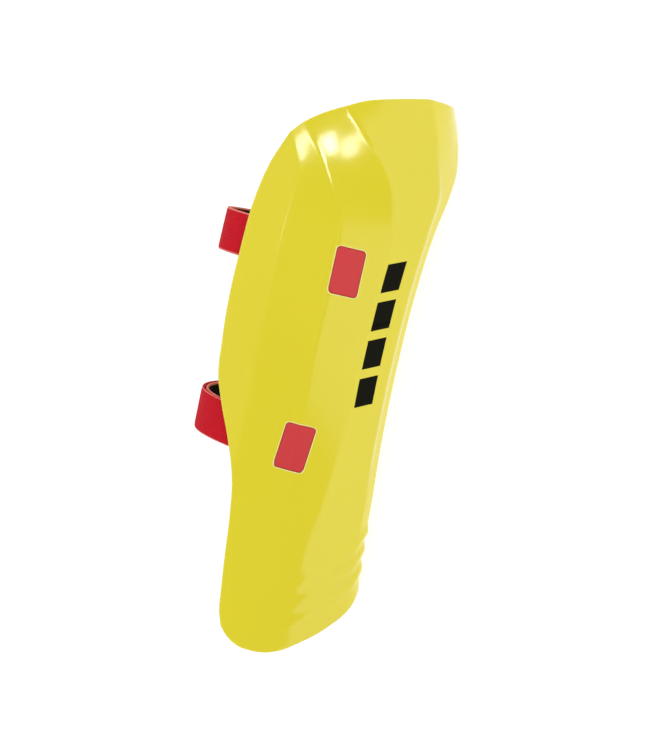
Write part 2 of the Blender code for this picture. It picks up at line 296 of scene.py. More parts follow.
def turn_at_back(back):
    """The share of the quarter turn at which the oval has gone so far back."""
    return math.acos(min(max(1 - back, 0.0), 1.0)) * 2 / math.pi


def turn_at_across(across):
    """The share of the quarter turn at which the oval has gone so far across."""
    ahead = (1 - across ** (1 / OVAL_SIDE)) ** (1 / OVAL_FRONT)
    return math.acos(ahead) * 2 / math.pi


def section_corners(height):
    """Corners of the faceted section at one height, each as turn, across and back."""
    ridge = STATION["ridge"](height)
    corners = [(0.0, 0.0, 0.0), (turn_at_across(ridge), ridge, 0.0)]
    for name in ("front_crease", "middle_crease", "side_crease"):
        turn = turn_at_back(STATION[name](height))
        corners.append((turn,) + oval(turn))
    corners.append((1.0,) + oval(1.0))
    return corners


def along_corners(turn, corners):
    """A point of the straight-sided section, carried past its ends by symmetry."""
    way = abs(turn)
    if way > 1:
        way = 2 - way
    k = 0
    while k < len(corners) - 2 and way > corners[k + 1][0]:
        k += 1
    first, second = corners[k], corners[k + 1]
    s = (way - first[0]) / (second[0] - first[0])
    across = first[1] + (second[1] - first[1]) * s
    back = first[2] + (second[2] - first[2]) * s
    if abs(turn) > 1:
        back = 2 - back
    return math.copysign(across, turn), back


def section_share(turn, height, fillet):
    """Across and back shares of the section, with filleted creases that soften at both ends."""
    corners = section_corners(height)
    points = [along_corners(turn + fillet * k / 4, corners) for k in range(-4, 5)]
    across = sum(point[0] for point in points) / len(points)
    back = sum(point[1] for point in points) / len(points)
    round_across, round_back = oval(abs(turn))
    soft = STATION["softness"](height)
    across += (math.copysign(round_across, turn) - across) * soft
    back += (round_back - back) * soft
    return across, back


def calf_point(turn, height):
    """Outer surface of the shell without its ribs; a negative turn is on the left side."""
    size = sizes()
    low = share_between(height, *ANKLE)
    fillet = size.fillet + (size.ankle_fillet - size.fillet) * low
    across, back = section_share(turn, height, fillet)
    width = STATION["width"](height) * size.calf_width / 2
    depth = STATION["depth"](height) * size.calf_depth
    forward = STATION["forward"](height) * size.calf_depth
    return Vector((across * width, back * depth - forward, height * size.length))


def calf_axes(turn, height):
    """Directions across, up the leg and outward on the shell's surface."""
    step = 0.004
    across = calf_point(turn + step, height) - calf_point(turn - step, height)
    up = calf_point(turn, height + step) - calf_point(turn, height - step)
    outward = across.cross(up).normalized()
    across = across.normalized()
    return across, outward.cross(across), outward


def edge_turn(height):
    """Share of the quarter turn at which the shell ends at its rear edge."""
    depth = STATION["depth"](height)
    return turn_at_back((rear_edge_back(height) + STATION["forward"](height)) / depth)


def shell_place(way, rise):
    """Turn and height of a shell point, from its way round and its rise between the rims."""
    side = math.copysign(1.0, way)
    bottom = bottom_rim_height(way)
    height = bottom + (top_rim_height(abs(way)) - bottom) * rise
    edge_bottom = bottom_rim_height(side)
    edge_height = edge_bottom + (top_rim_height(1.0) - edge_bottom) * rise
    return way * edge_turn(edge_height), height


def rib_lift(turn, above_rim):
    """Height of the shallow ribs that run across the ankle beside the lower rim."""
    size = sizes()
    into = (above_rim - RIBS_ABOVE_RIM) / size.rib_pitch
    if into < 0 or into > RIB_COUNT:
        return 0.0
    fade = max(0.0, 1 - abs(turn) / RIBS_REACH)
    return size.rib_height * math.sin(math.pi * (into % 1)) ** 2 * min(1.0, 1.6 * fade)


def shell_point(way, rise):
    """A point of the shell's outer surface, ribs included."""
    turn, height = shell_place(way, rise)
    point = calf_point(turn, height)
    lift = rib_lift(turn, (height - bottom_rim_height(way)) * sizes().length)
    if lift:
        point += calf_axes(turn, height)[2] * lift
    return point


def turn_step(turn, height, distance):
    """How much of the quarter turn covers a distance round the section."""
    pace = (calf_point(turn + 0.05, height) - calf_point(turn - 0.05, height)).length / 0.1
    return distance / pace


def window_axes(side, level):
    """Middle, across, up and outward of a window's plane, through the surface at its edges."""
    turn, height = level["turn"], level["height"]
    half = turn_step(turn, height, level["window_width"] / 2)
    first = calf_point(side * turn - half, height)
    second = calf_point(side * turn + half, height)
    across = (second - first).normalized()
    outward = across.cross(calf_axes(side * turn, height)[1]).normalized()
    return (first + second) / 2, across, outward.cross(across), outward


def window_outline(side, level, grow, share):
    """A point of a window's leaning outline, grown by a distance, at a share of the way round."""
    size = sizes()
    flat = rounded_rectangle(level["window_width"] + 2 * grow, size.window_height + 2 * grow,
                             size.window_corner + grow, share)
    flat.x += side * (level["shift"] - level["lean"] * flat.y)
    return flat


def window_spots(side, level, flat_points):
    """Surface points and outward directions that lie over points of a window's plane."""
    middle, across, up, outward = window_axes(side, level)
    turn, height = side * level["turn"], level["height"]
    pace = turn_step(turn, height, 1.0)
    spots = []
    for flat in flat_points:
        for step in range(4):
            off = calf_point(turn, height) - middle
            turn += (flat.x - off.dot(across)) * pace
            height += (flat.y - off.dot(up)) / sizes().length
        spots.append((calf_point(turn, height), calf_axes(turn, height)[2]))
    return spots


def leg_to_rest():
    """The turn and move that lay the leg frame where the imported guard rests.

    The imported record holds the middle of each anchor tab's face, and the same points are known
    in the leg frame.
    """
    mounts = {mount["name"]: Vector(mount["pos_m"]) for mount in frame["record"]["mounts"]}
    leg = {}
    for level, side_name, side in WINDOWS:
        middle, across, up, outward = window_axes(side, level)
        leg[f"{level['name']}_anchor_{side_name}"] = middle - outward * TAB_RECESS

    def axes(points):
        across = (points["upper_anchor_right"] - points["upper_anchor_left"]).normalized()
        upper = points["upper_anchor_right"] + points["upper_anchor_left"]
        lower = points["lower_anchor_right"] + points["lower_anchor_left"]
        back = (upper - lower).cross(across).normalized()
        return Matrix((across, back, across.cross(back))).transposed()

    turned = axes(mounts) @ axes(leg).transposed()
    middle_rest = sum(mounts.values(), Vector()) / len(mounts)
    middle_leg = sum(leg.values(), Vector()) / len(leg)
    return Matrix.Translation(middle_rest - turned @ middle_leg) @ turned.to_4x4()


def place_mesh(name, form, materials=()):
    """An object in the scene that takes over a bmesh."""
    mesh = bpy.data.meshes.new(name)
    form.to_mesh(mesh)
    form.free()
    for material in materials:
        mesh.materials.append(material)
    item = bpy.data.objects.new(name, mesh)
    bpy.context.scene.collection.objects.link(item)
    return item


def finish_piece(name, form, materials, replaces=()):
    """Lay a bmesh where the guard rests, and make it a smooth piece that rides on the root."""
    form.transform(leg_to_rest())
    piece = place_mesh(name, form, materials)
    piece.data.shade_smooth()
    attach(piece, "root")
    if replaces:
        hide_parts(*replaces)
    return piece


def grid_form(columns, rows, place):
    """A grid whose points are placed by a function of their column and row."""
    form = bmesh.new()
    bmesh.ops.create_grid(form, x_segments=columns, y_segments=rows, size=0.5)
    for vertex in form.verts:
        column = round((vertex.co.x + 0.5) * columns)
        row = round((vertex.co.y + 0.5) * rows)
        vertex.co = place(column, row)
    return form


def close_form(form):
    """Merge a rolled grid's doubles and turn its faces outward."""
    bmesh.ops.remove_doubles(form, verts=form.verts, dist=1e-6)
    bmesh.ops.recalc_face_normals(form, faces=form.faces)
    return form


def placed_axes(across, up, outward, at):
    """A matrix with these directions as its axes, at a point."""
    matrix = Matrix((across, up, outward)).transposed().to_4x4()
    matrix.translation = at
    return matrix


def sharp_edges(form, angle):
    """Edges where two faces meet at more than an angle."""
    return [edge for edge in form.edges
            if len(edge.link_faces) == 2 and edge.calc_face_angle(0.0) > angle]


def rounded_rectangle(width, height, corner, share):
    """A point on a rounded rectangle's outline, at a share of the way round."""
    straight = (width - 2 * corner, height - 2 * corner)
    arc = math.pi / 2 * corner
    total = 2 * (straight[0] + straight[1]) + 4 * arc
    along = (share % 1.0) * total
    for quarter in range(4):
        run = straight[1] if quarter % 2 == 0 else straight[0]
        turned = Matrix.Rotation(quarter * math.pi / 2, 2)
        half = (width / 2, height / 2) if quarter % 2 == 0 else (height / 2, width / 2)
        if along <= run:
            return turned @ Vector((half[0], -run / 2 + along))
        along -= run
        if along <= arc:
            angle = along / corner
            centre = Vector((half[0] - corner, half[1] - corner))
            return turned @ (centre + corner * Vector((math.cos(angle), math.sin(angle))))
        along -= arc
    return Vector((width / 2, -straight[1] / 2))


# Materials

class Tree:
    """A node tree of a material, group or world, with short ways to add and link its nodes."""

    def __init__(self, tree):
        self.nodes = tree.nodes
        self.link = tree.links.new

    def feed(self, node, inputs):
        """Link sockets into a node's inputs, and set the others to their values."""
        for label, value in inputs.items():
            if isinstance(value, bpy.types.NodeSocket):
                self.link(value, node.inputs[label])
            else:
                node.inputs[label].default_value = value

    def add(self, kind, inputs=(), **settings):
        """A new node with its settings made and its inputs fed."""
        node = self.nodes.new(kind)
        for name, value in settings.items():
            setattr(node, name, value)
        self.feed(node, dict(inputs))
        return node

    def number(self, operation, *values):
        return self.add("ShaderNodeMath", enumerate(values), operation=operation).outputs[0]

    def noise(self, where, scale, detail=2.0):
        inputs = {"Vector": where, "Scale": scale, "Detail": detail}
        return self.add("ShaderNodeTexNoise", inputs).outputs["Fac"]

    def mixed(self, share, first, second):
        """A colour between two others."""
        inputs = {0: share, 6: first, 7: second}
        return self.add("ShaderNodeMix", inputs, data_type="RGBA").outputs[2]

    def scaled(self, colour, brightness):
        inputs = {0: colour, "Scale": brightness}
        return self.add("ShaderNodeVectorMath", inputs, operation="SCALE").outputs[0]

    def eased(self, value, start, end):
        """A value that turns softly from one range into another."""
        inputs = {"Value": value, "From Min": start[0], "From Max": start[1],
                  "To Min": end[0], "To Max": end[1]}
        node = self.add("ShaderNodeMapRange", inputs, interpolation_type="SMOOTHSTEP")
        return node.outputs["Result"]

    def raised(self, height, distance):
        """The normal of a surface raised by a height."""
        inputs = {"Strength": 1.0, "Distance": distance, "Height": height}
        return self.add("ShaderNodeBump", inputs).outputs["Normal"]


def new_material(name):
    material = bpy.data.materials.new(name)
    material.use_nodes = True
    tree = Tree(material.node_tree)
    tree.nodes.clear()
    shader = tree.add("ShaderNodeBsdfPrincipled")
    tree.add("ShaderNodeOutputMaterial", {"Surface": shader.outputs["BSDF"]})
    return material, tree, shader


def new_group(name, inputs, outputs):
    """An empty shader node group, with its named sockets."""
    group = bpy.data.node_groups.new(name, "ShaderNodeTree")
    for label, kind, default in inputs:
        socket = group.interface.new_socket(label, in_out="INPUT", socket_type=kind)
        socket.default_value = default
    for label, kind in outputs:
        group.interface.new_socket(label, in_out="OUTPUT", socket_type=kind)
    tree = Tree(group)
    return group, tree, tree.add("NodeGroupInput").outputs, tree.add("NodeGroupOutput")


def handling_group():
    """Faint mottling, fine scratches and moulding ripples that handled plastic shows."""
    name = "Handled surface"
    if name in bpy.data.node_groups:
        return bpy.data.node_groups[name]
    group, tree, given, leave = new_group(
        name,
        [("Colour", "NodeSocketColor", (1, 1, 1, 1)), ("Variation", "NodeSocketFloat", 0.05),
         ("Roughness", "NodeSocketFloat", 0.1), ("Scratches", "NodeSocketFloat", 0.1)],
        [("Colour", "NodeSocketColor"), ("Roughness", "NodeSocketFloat"),
         ("Height", "NodeSocketFloat")])
    where = tree.add("ShaderNodeTexCoord").outputs["Object"]
    mottle = tree.noise(where, 9.0, 3.0)
    spread = tree.number("SUBTRACT", mottle, 0.5)
    shade = tree.number("MULTIPLY", spread, given["Variation"])
    bright = tree.number("ADD", shade, 1.0)
    stretched = tree.add("ShaderNodeMapping", {"Vector": where, "Scale": (35.0, 900.0, 900.0)})
    scratch = tree.noise(stretched.outputs[0], 1.0)
    lines = tree.number("GREATER_THAN", scratch, 0.68)
    marks = tree.number("MULTIPLY", lines, given["Scratches"])
    haze = tree.number("MULTIPLY", mottle, 0.04)
    rough = tree.number("ADD", given["Roughness"], haze)
    tree.feed(leave, {"Colour": tree.scaled(given["Colour"], bright),
                      "Roughness": tree.number("ADD", rough, marks),
                      "Height": tree.noise(where, 28.0, 1.0)})
    return group


def plastic_material(name, colour, roughness, variation, scratches, ripple_height, coat=0.0,
                     specular=0.5, ridge=None):
    """Moulded plastic: even colour, a soft gloss and a faint ripple in its reflections.

    A ridge colour paints a highlight line along the shell's front ridges.
    """
    if name in bpy.data.materials:
        return bpy.data.materials[name]
    material, tree, shader = new_material(name)
    values = {"Colour": colour, "Variation": variation, "Roughness": roughness,
              "Scratches": scratches}
    handled = tree.add("ShaderNodeGroup", values, node_tree=handling_group()).outputs
    colour_out = handled["Colour"]
    if ridge:
        # Painted highlight: the ridge colour is mixed in along the pale ridge line
        line = tree.add("ShaderNodeAttribute", attribute_name="Ridge highlight").outputs["Fac"]
        colour_out = tree.mixed(tree.number("MULTIPLY", line, 0.6), colour_out, ridge)
    tree.feed(shader, {"Base Color": colour_out, "Roughness": handled["Roughness"],
                       "Coat Weight": coat, "Coat Roughness": 0.08,
                       "Specular IOR Level": specular,
                       "Normal": tree.raised(handled["Height"], ripple_height)})
    return material


def weave_group():
    """Narrow webbing's weave, from a UV map in metres along and across the strap."""
    name = "Webbing weave"
    if name in bpy.data.node_groups:
        return bpy.data.node_groups[name]
    group, tree, given, leave = new_group(
        name,
        [("Yarn", "NodeSocketColor", (0.5, 0, 0, 1)),
         ("Selvage and highlight", "NodeSocketColor", (0.8, 0.3, 0.3, 1)),
         ("Pitch", "NodeSocketFloat", 0.0012), ("Half width", "NodeSocketFloat", 0.014),
         ("Band start", "NodeSocketFloat", 0.95), ("Band end", "NodeSocketFloat", 9.0)],
        [("Colour", "NodeSocketColor"), ("Height", "NodeSocketFloat")])
    uv = tree.add("ShaderNodeUVMap", uv_map="Strap").outputs["UV"]
    split = tree.add("ShaderNodeSeparateXYZ", {0: uv}).outputs
    along = tree.number("DIVIDE", split["X"], given["Pitch"])
    across = tree.number("DIVIDE", split["Y"], given["Pitch"])

    # Warp ribs run along the strap, and each is crossed by picks set off by half a step
    offset = tree.number("MULTIPLY", tree.number("FLOOR", across), 0.5)
    pick = tree.number("ADD", along, offset)
    rib_wave = tree.number("SINE", tree.number("MULTIPLY", across, math.pi))
    pick_wave = tree.number("SINE", tree.number("MULTIPLY", pick, 2 * math.pi))
    rib_round = tree.number("ABSOLUTE", rib_wave)
    pick_round = tree.number("MULTIPLY_ADD", pick_wave, 0.5, 0.5)
    height = tree.number("MULTIPLY", rib_round, pick_round)
    fuzzy = tree.number("MULTIPLY_ADD", tree.noise(uv, 2600.0), 0.6, height)

    # Painted shade darkens the yarn between the ribs, and the looped selvage, whose paler colour
    # is partly a painted highlight, fades in over a narrow band
    depth = tree.number("MULTIPLY_ADD", height, 0.55, 0.62)
    shaded = tree.scaled(given["Yarn"], depth)
    share = tree.number("DIVIDE", tree.number("ABSOLUTE", split["Y"]), given["Half width"])
    into = tree.number("SUBTRACT", share, given["Band start"])
    beyond = tree.number("SUBTRACT", given["Band end"], share)
    band = tree.number("MULTIPLY", tree.number("MINIMUM", into, beyond), 30.0)
    clamped = tree.add("ShaderNodeClamp", {"Value": band}).outputs[0]
    loops = tree.number("MULTIPLY_ADD", pick_round, 0.55, 0.45)
    edge = tree.number("MULTIPLY", clamped, loops)
    tree.feed(leave, {"Colour": tree.mixed(edge, shaded, given["Selvage and highlight"]), "Height": fuzzy})
    return group


def webbing_material(name, yarn, selvage_and_highlight, pitch, roughness, sheen, band=(0.95, 9.0)):
    """Woven webbing with a raised rib weave, painted shade between its ribs and a paler, looped
    selvage that is partly a painted highlight.
    """
    if name in bpy.data.materials:
        return bpy.data.materials[name]
    material, tree, shader = new_material(name)
    values = {"Yarn": yarn, "Selvage and highlight": selvage_and_highlight, "Pitch": pitch,
              "Half width": sizes().strap_width / 2, "Band start": band[0], "Band end": band[1]}
    weave = tree.add("ShaderNodeGroup", values, node_tree=weave_group()).outputs
    tree.feed(shader, {"Base Color": weave["Colour"], "Roughness": roughness,
                       "Specular IOR Level": 0.12, "Sheen Weight": sheen,
                       "Sheen Roughness": 0.4,
                       "Normal": tree.raised(weave["Height"], 0.00025)})
    return material


def shell_plastic():
    # The shell's ridge colour is a painted highlight along its front ridges
    return plastic_material("Moulded yellow shell", colours().shell, 0.12, 0.05, 0.03, 0.0002,
                            coat=0.3, ridge=colours().shell_ridge_highlight)


# Painted highlight: a paler plastic for the lit edge round each window
def lit_edge_plastic():
    return plastic_material("Shell edge painted highlight", colours().shell_edge, 0.16, 0.04, 0.02, 0.0001)


def tab_plastic():
    return plastic_material("Red anchor tab", colours().tab, 0.38, 0.12, 0.08, 0.0002)


def marking_ink():
    return plastic_material("Black printed blocks", colours().marking, 0.5, 0.3, 0.1, 0.0001,
                            specular=0.05)


def red_webbing():
    colour = colours()
    return webbing_material("Red webbing", colour.webbing, colour.selvage_and_highlight, 0.0011, 0.72, 0.02)


def strap_edge(name, band):
    """The side of a ply, whose paler selvage colour, partly a painted highlight, shows between
    two shares of the half width.
    """
    colour = colours()
    return webbing_material(name, colour.webbing, colour.selvage_and_highlight, 0.0013, 0.8, 0.02, band)


def looped_edge():
    return strap_edge("Looped strap edge", (0.8, 9.0))


def corner_lit_edge():
    # Painted highlight: a pale line along the lower strap's outer corner, in the selvage colour
    return strap_edge("Red strap edge highlight", (0.93, 1.02))


# Near black for the straps' inner faces
def dark_inner_face():
    colour = colours()
    return webbing_material("Dark strap inner face", colour.inner_face_colour, colour.inner_face_colour, 0.0010, 1.0, 0.0)


def floor_material():
    """A pale floor that glows a little more near the guard, so that no shadow shows on it."""
    material, tree, shader = new_material("Pale studio floor")
    where = tree.add("ShaderNodeTexCoord").outputs["Object"]
    pale = colours().floor
    dim = [channel * 0.985 for channel in pale[:3]] + [1.0]
    away = tree.add("ShaderNodeVectorMath", {0: where}, operation="LENGTH").outputs["Value"]
    tree.feed(shader, {"Base Color": tree.mixed(tree.noise(where, 2.0), dim, pale),
                       "Roughness": 0.9, "Specular IOR Level": 0.1,
                       "Emission Color": (1.0, 1.0, 1.0, 1.0),
                       "Emission Strength": tree.eased(away, (0.0, 0.42), (0.93, 0.87))})
    return material


# Pieces

class GUARD_OT_shell(bpy.types.Operator):
    """Mould the half-pipe shell and cut its four strap windows"""

    bl_idname = "guard.shell"
    bl_label = "Moulded shell"

    # Half width of the painted highlight along each front ridge, in quarter turns
    ridge_highlight_width = 0.010

    def execute(self, context):
        size = sizes()
        highlight_masks = []

        def place(column, row):
            way, rise = 2 * column / size.columns - 1, row / size.rows
            highlight_masks.append(self.ridge_highlight_mask(way, rise))
            return shell_point(way, rise)

        form = grid_form(size.columns, size.rows, place)
        # Painted highlight: a vertex layer holding each point's share of the pale ridge line
        ridge = form.verts.layers.float.new("Ridge highlight")
        outer = list(form.verts)
        bmesh.ops.recalc_face_normals(form, faces=form.faces)
        middle = min(form.verts, key=lambda vertex: vertex.co.y)
        if middle.normal.y > 0:
            bmesh.ops.reverse_faces(form, faces=form.faces)
        bmesh.ops.solidify(form, geom=form.faces[:], thickness=size.wall)
        for vertex, highlight_share in zip(outer, highlight_masks):
            vertex[ridge] = highlight_share
        rim = sharp_edges(form, math.radians(60))
        bmesh.ops.bevel(form, geom=rim, offset=size.rim_round, offset_type="OFFSET", segments=3,
                        profile=0.5, affect="EDGES", material=-1)
        shell = finish_piece("moulded_shell", form, [shell_plastic()], ["shell"])

        cutters = bmesh.new()
        for level, side_name, side in WINDOWS:
            self.add_cutter(cutters, side, level)
        cutters.transform(leg_to_rest())
        cutter = place_mesh("window_cutters", cutters)
        cut = shell.modifiers.new("Windows", "BOOLEAN")
        cut.operation = "DIFFERENCE"
        cut.solver = "EXACT"
        cut.object = cutter
        with context.temp_override(object=shell, active_object=shell):
            bpy.ops.object.modifier_apply(modifier=cut.name)
        bpy.data.meshes.remove(cutter.data)
        shell.data.shade_smooth()
        shell.data.set_sharp_from_angle(angle=math.radians(35))
        return {"FINISHED"}

    def ridge_highlight_mask(self, way, rise):
        """How much a point lies on the painted highlight line along a front ridge."""
        turn, height = shell_place(way, rise)
        off = abs(turn) - turn_at_across(STATION["ridge"](height))
        start = share_between(height, 0.30, 0.38)
        end = share_between(height, 0.93, 0.85)
        return start * end * math.exp(-(off / self.ridge_highlight_width) ** 2)

    def add_cutter(self, form, side, level):
        """A rounded, leaning box that passes through the wall at one window."""
        size = sizes()
        made = bmesh.ops.create_cube(form, size=1)
        corners = made["verts"]
        bmesh.ops.scale(form, vec=(level["window_width"], size.window_height, size.wall * 5),
                        verts=corners)
        upright = [edge for edge in form.edges
                   if edge.verts[0] in corners and edge.verts[1] in corners
                   and abs(edge.verts[0].co.z - edge.verts[1].co.z) > size.wall]
        before = set(form.verts) - set(corners)
        bmesh.ops.bevel(form, geom=upright, offset=size.window_corner, segments=8,
                        profile=0.5, affect="EDGES", material=-1)
        middle, across, up, outward = window_axes(side, level)
        fresh = [vertex for vertex in form.verts if vertex not in before]
        for vertex in fresh:
            vertex.co.x += side * (level["shift"] - level["lean"] * vertex.co.y)
        bmesh.ops.transform(form, matrix=placed_axes(across, up, outward, middle), verts=fresh)


class GUARD_OT_windows(bpy.types.Operator):
    """Add the lip round each strap window, coloured paler than the shell as a painted highlight
    on the window's edge
    """

    bl_idname = "guard.windows"
    bl_label = "Window lips"

    radius = 0.00034
    sunk = 0.0001
    steps = 120
    sides = 10

    def execute(self, context):
        for level, side_name, side in WINDOWS:
            finish_piece(f"{level['name']}_window_lip_{side_name}", self.lip_form(side, level),
                         [lit_edge_plastic()])
        return {"FINISHED"}

    def lip_form(self, side, level):
        """A thin bead swept round the window's outline, half sunk into the surface."""
        outline = [window_outline(side, level, self.radius, k / self.steps)
                   for k in range(self.steps)]
        spots = window_spots(side, level, outline)

        def place(column, row):
            point, outward = spots[column % self.steps]
            ahead = spots[(column + 1) % self.steps][0] - spots[(column - 1) % self.steps][0]
            beside = ahead.cross(outward).normalized()
            angle = 2 * math.pi * row / self.sides
            ring = beside * math.cos(angle) + outward * math.sin(angle)
            return point - outward * self.sunk + ring * self.radius

        return close_form(grid_form(self.steps, self.sides, place))


class GUARD_OT_tabs(bpy.types.Operator):
    """Set the smooth red strap ends into the windows"""

    bl_idname = "guard.tabs"
    bl_label = "Anchor tabs"

    thickness = 0.0014
    edge_drop = 0.0002
    edge_from = 0.93
    rings = 14
    steps = 96

    def execute(self, context):
        for level, side_name, side in WINDOWS:
            finish_piece(f"{level['name']}_anchor_tab_{side_name}", self.tab_form(side, level),
                         [tab_plastic()], [f"{level['name']}_tab_{side_name}"])
        return {"FINISHED"}

    def tab_form(self, side, level):
        """A plate that follows the shell, grown in rings from its middle to a rounded edge."""
        shrink = -sizes().gap / 2
        reach = [(row / self.rings) ** 0.6 for row in range(self.rings + 1)]
        outline = [window_outline(side, level, shrink, k / self.steps) for k in range(self.steps)]
        spots = [window_spots(side, level, [flat * ring for ring in reach]) for flat in outline]

        def place(column, row):
            under = row > self.rings
            ring = 2 * self.rings + 1 - row if under else row
            point, outward = spots[column % self.steps][ring]
            edge = share_between(reach[ring], self.edge_from, 1.0)
            drop = TAB_RECESS + self.edge_drop * edge * edge
            if under:
                drop = TAB_RECESS + self.thickness
            return point - outward * drop

        return close_form(grid_form(self.steps, 2 * self.rings + 1, place))


class GUARD_OT_straps(bpy.types.Operator):
    """Weave the webbing straps along the inner walls and round behind the calf"""

    bl_idname = "guard.straps"
    bl_label = "Webbing straps"

    steps = 240
    around = 36
    squareness = 0.30
    past_window = 0.006
    tuck = 0.022

    def execute(self, context):
        for level in LEVELS:
            turn, height = level["turn"], level["height"]
            first = turn - turn_step(turn, height, level["window_width"] / 2 + self.past_window)
            form = self.strap_form(level, first, 0)
            # The lower strap's sides carry a painted highlight along their outer corner
            edge = corner_lit_edge() if level["name"] == "lower" else looped_edge()
            finish_piece(f"{level['name']}_webbing_strap", form,
                         [red_webbing(), dark_inner_face(), edge], [f"{level['name']}_strap"])
        lower = LEVELS[1]
        leave = edge_turn(lower["height"])
        tucked = leave - turn_step(leave, lower["height"], self.tuck)
        form = self.strap_form(lower, tucked, 1)
        finish_piece("lower_webbing_overlap", form, [red_webbing(), dark_inner_face(), looped_edge()],
                     ["lower_strap_overlap"])
        return {"FINISHED"}

    def strap_point(self, way, lift, inset, level, first_turn):
        """A point of a strap: along the inside of the wall, then in a loop behind the calf."""
        size = sizes()
        side = math.copysign(1.0, way)
        leave = edge_turn(level["height"])
        share = max(0.0, 2 * abs(way) - 1)
        rise = level["edge_rise"] + side * level["tilt"]
        lift += rise * (1 - ease(share))
        height = level["height"] + lift / size.length
        inner = self.wall_inset(side * (leave + (first_turn - leave) * share), height, inset)
        if share > 0:
            return inner
        edge = calf_point(side * leave, level["height"])
        across = math.sin(math.pi * abs(way)) ** (2 / level["fullness"])
        behind = max(math.cos(math.pi * abs(way)), 0.0) ** (2 / level["fullness"])
        further = level["rear_rise"] - level["edge_rise"]
        return Vector((inner.x * across + level["aside"] * behind ** 2,
                       inner.y + (edge.y + level["reach"] - inset - inner.y) * behind,
                       inner.z + further * behind - side * level["tilt"] * (1 - across)))

    def wall_inset(self, turn, height, inset):
        """A point so far inside the shell's outer surface, kept at its height."""
        outward = calf_axes(turn, height)[2]
        outward.z = 0
        return calf_point(turn, height) - outward.normalized() * inset

    def section(self, row):
        """Across and outward of a ply's section, flat with rounded sides, from the top edge."""
        size = sizes()
        angle = 2 * math.pi * row / self.around
        across = math.copysign(abs(math.cos(angle)) ** self.squareness, math.cos(angle))
        out = math.copysign(abs(math.sin(angle)) ** self.squareness, math.sin(angle))
        return Vector((across * size.strap_width / 2, out * size.strap_thickness / 2))

    def strap_form(self, level, first_turn, layer):
        """One ply swept along its route, with a UV map in metres along it and round it."""
        size = sizes()
        base = size.wall + size.gap + size.strap_thickness / 2
        base += layer * (size.strap_thickness + size.gap)
        lengths = [0.0]
        route = [self.strap_point(2 * k / self.steps - 1, 0.0, base, level, first_turn)
                 for k in range(self.steps + 1)]
        for first, second in zip(route, route[1:]):
            lengths.append(lengths[-1] + (second - first).length)
        quarter = self.around // 4
        rounds = [0.0]
        for row in range(self.around):
            rounds.append(rounds[-1] + (self.section(row + 1) - self.section(row)).length)

        cells = []

        def place(column, row):
            cells.append((column, row))
            across, out = self.section(row)
            way = 2 * column / self.steps - 1
            return self.strap_point(way, across, base - out, level, first_turn)

        form = grid_form(self.steps, self.around, place)
        form.verts.index_update()
        uv = form.loops.layers.uv.new("Strap")
        side_from = 0.46
        for face in form.faces:
            corners = [cells[loop.vert.index] for loop in face.loops]
            for loop, (column, row) in zip(face.loops, corners):
                loop[uv].uv = (lengths[column], rounds[row] - rounds[quarter])
            middle = sum(row for column, row in corners) / len(corners)
            flat = self.section(middle)
            if (abs(flat.x) > side_from * size.strap_width
                    and abs(flat.y) < side_from * size.strap_thickness):
                face.material_index = 2
            elif middle > 2 * quarter:
                face.material_index = 1
        bmesh.ops.remove_doubles(form, verts=form.verts, dist=1e-6)
        ends = [edge for edge in form.edges if len(edge.link_faces) == 1]
        bmesh.ops.holes_fill(form, edges=ends, sides=0)
        bmesh.ops.recalc_face_normals(form, faces=form.faces)
        return form


class GUARD_OT_marking(bpy.types.Operator):
    """Print a row of plain slanted blocks on the front facet"""

    bl_idname = "guard.marking"
    bl_label = "Plain blocks"

    count = 4
    columns = 12
    rows = 20
    film = 0.00006
    width = 0.0132
    slant = 0.35
    low, high = 0.462, 0.717
    filled = 0.75
    middle = 0.238

    def execute(self, context):
        form = bmesh.new()
        pitch = (self.high - self.low) / (self.count - 1 + self.filled)
        for block in range(self.count):
            start = self.low + pitch * block
            self.add_block(form, start, start + pitch * self.filled)
        bmesh.ops.recalc_face_normals(form, faces=form.faces)
        finish_piece("front_blocks", form, [marking_ink()])
        return {"FINISHED"}

    def add_block(self, form, low, high):
        """A thin closed film over the left front facet, with slanted ends."""
        pace = turn_step(-self.middle, (low + high) / 2, 1.0)
        sheet = bmesh.ops.create_grid(form, x_segments=self.columns, y_segments=self.rows,
                                      size=0.5)
        for vertex in sheet["verts"]:
            aside = vertex.co.x * self.width
            height = (low + high) / 2 + (high - low) * vertex.co.y
            height += aside * self.slant / sizes().length
            turn = -self.middle + aside * pace
            vertex.co = calf_point(turn, height) + calf_axes(turn, height)[2] * self.film
        faces = list({face for vertex in sheet["verts"] for face in vertex.link_faces})
        bmesh.ops.solidify(form, geom=faces, thickness=self.film * 1.5)


